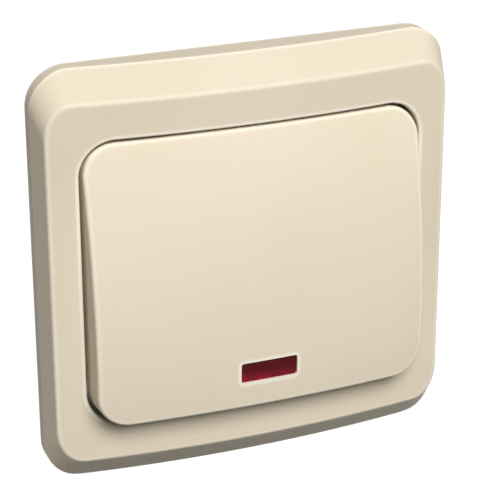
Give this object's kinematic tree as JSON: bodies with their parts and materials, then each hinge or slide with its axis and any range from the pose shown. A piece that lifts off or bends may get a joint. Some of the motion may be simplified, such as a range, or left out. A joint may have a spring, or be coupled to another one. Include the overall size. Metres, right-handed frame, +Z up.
{
  "type": "two-way light switch",
  "caption": "Flush two-way light switch: square ivory bowed frame, large crowned rocker with a red light guide, steel strap with claws and a change-over contact mechanism.",
  "frame": {"origin": "midway between the two box screw slots, on the back of the steel strap, which is the wall plane", "axes": "-Y out of the wall towards the user, +Z up the wall, +X to the right seen from the front"},
  "size_m": [0.082, 0.0401, 0.082],
  "materials": {
    "cover": "satin ivory moulded plastic",
    "rocker": "satin ivory moulded plastic",
    "lens": "translucent red",
    "carrier": "natural nylon",
    "cap": "white insulating plastic",
    "base": "pale grey insulating plastic",
    "holder": "white plastic",
    "strap": "zinc plated pressed steel",
    "claw": "zinc plated pressed steel",
    "screw": "zinc plated",
    "spring": "spring steel",
    "brass": "bright stamped brass",
    "silver": "silver contact alloy",
    "glass": "clear glass",
    "resistor": "lacquered",
    "lead": "tinned wire"
  },
  "bodies": {
    "mechanism": {"frame_cover": "cover", "mounting_plate": "strap", "mechanism_cap": "cap", "mechanism_base": "base", "plate_screws": "screw", "common_terminal": "brass", "upper_terminal": "brass", "lower_terminal": "brass", "fixed_contacts": "silver", "terminal_screws": "screw", "claw_screws": "screw", "lamp_holder": "holder", "neon_lamp": "glass", "lamp_resistor": "resistor", "lamp_leads": "lead"},
    "rocker": {"rocker_key": "rocker", "indicator_lens": "lens", "rocker_carrier": "carrier", "plunger_spring": "spring"},
    "plunger": {"plunger": "carrier"},
    "bridge": {"contact_bridge": "brass", "moving_contacts": "silver"},
    "claw_left": {"claw_left": "claw"},
    "claw_right": {"claw_right": "claw"}
  },
  "joints": [
    {"name": "rocker_pivot", "type": "hinge", "parent": "mechanism", "child": "rocker", "pos_m": [0, -0.005, 0], "axis": [1, 0, 0], "range_deg": [0, 12]},
    {"name": "plunger_slide", "type": "slide", "parent": "rocker", "child": "plunger", "axis": [0, -0.9945, 0.1045], "range_m": [0, 0.0006], "stiffness_N_per_m": 300, "springref_m": -0.001, "deforming": ["plunger_spring"]},
    {"name": "bridge_pivot", "type": "hinge", "parent": "mechanism", "child": "bridge", "pos_m": [0, 0.0088, 0], "axis": [1, 0, 0], "range_deg": [-14, 0]},
    {"name": "claw_left_pivot", "type": "hinge", "parent": "mechanism", "child": "claw_left", "pos_m": [-0.0203, 0.003, 0], "axis": [0, 0, 1], "range_deg": [0, 15]},
    {"name": "claw_right_pivot", "type": "hinge", "parent": "mechanism", "child": "claw_right", "pos_m": [0.0203, 0.003, 0], "axis": [0, 0, 1], "range_deg": [-15, 0]}
  ],
  "couplings": [
    {"joint": "bridge_pivot", "follows": "rocker_pivot", "ratio": -1.1667}
  ]
}
